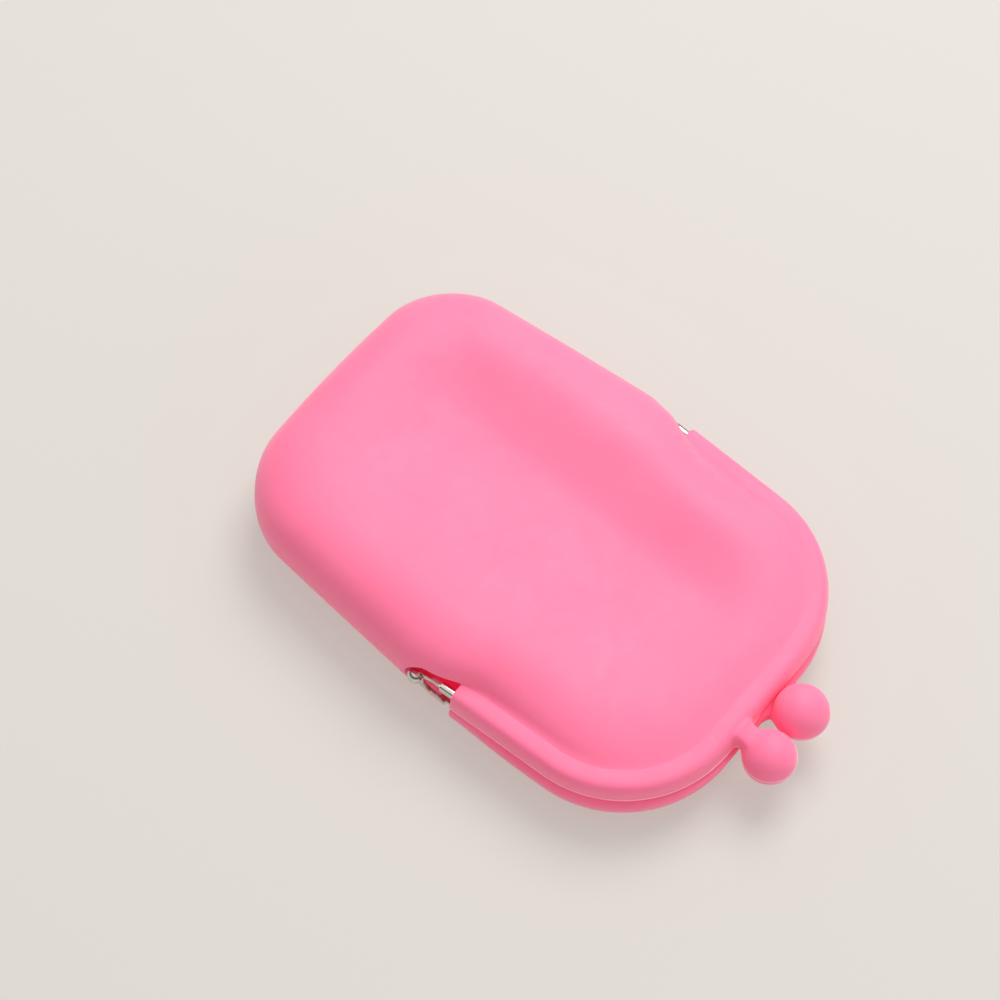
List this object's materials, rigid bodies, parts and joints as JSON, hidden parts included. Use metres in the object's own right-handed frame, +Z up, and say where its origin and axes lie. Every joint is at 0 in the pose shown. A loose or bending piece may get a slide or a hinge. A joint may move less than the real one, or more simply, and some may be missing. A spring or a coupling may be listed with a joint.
{
  "type": "clasp-frame coin purse",
  "caption": "soft silicone pouch with a hinged steel mouth frame under silicone sleeves; ball clasp snaps it shut, lying flat on its back wall",
  "frame": {"origin": "on the surface the purse lies on, under the middle of the hinge axis", "axes": "+X from the bottom of the pouch to the mouth, +Y across, +Z up through the front wall"},
  "size_m": [0.1328, 0.0836, 0.024],
  "materials": {
    "silicone": "matte, soft to the touch",
    "plated_steel": "bright nickel plate"
  },
  "bodies": {
    "back_half": {"pouch_base": "silicone", "back_wall": "silicone", "front_fold": "silicone", "back_rail": "silicone", "back_clasp_ball": "silicone", "back_frame": "plated_steel", "hinge_rivet_near": "plated_steel", "hinge_rivet_far": "plated_steel", "back_clasp_post": "plated_steel"},
    "front_half": {"front_wall": "silicone", "front_rail": "silicone", "front_frame": "plated_steel", "front_clasp_post": "plated_steel", "front_clasp_ball": "silicone"}
  },
  "joints": [
    {"name": "mouth", "type": "hinge", "parent": "back_half", "child": "front_half", "pos_m": [0, 0, 0.011], "axis": [0, -1, 0], "range_deg": [0, 70], "deforming": ["front_fold"]}
  ]
}
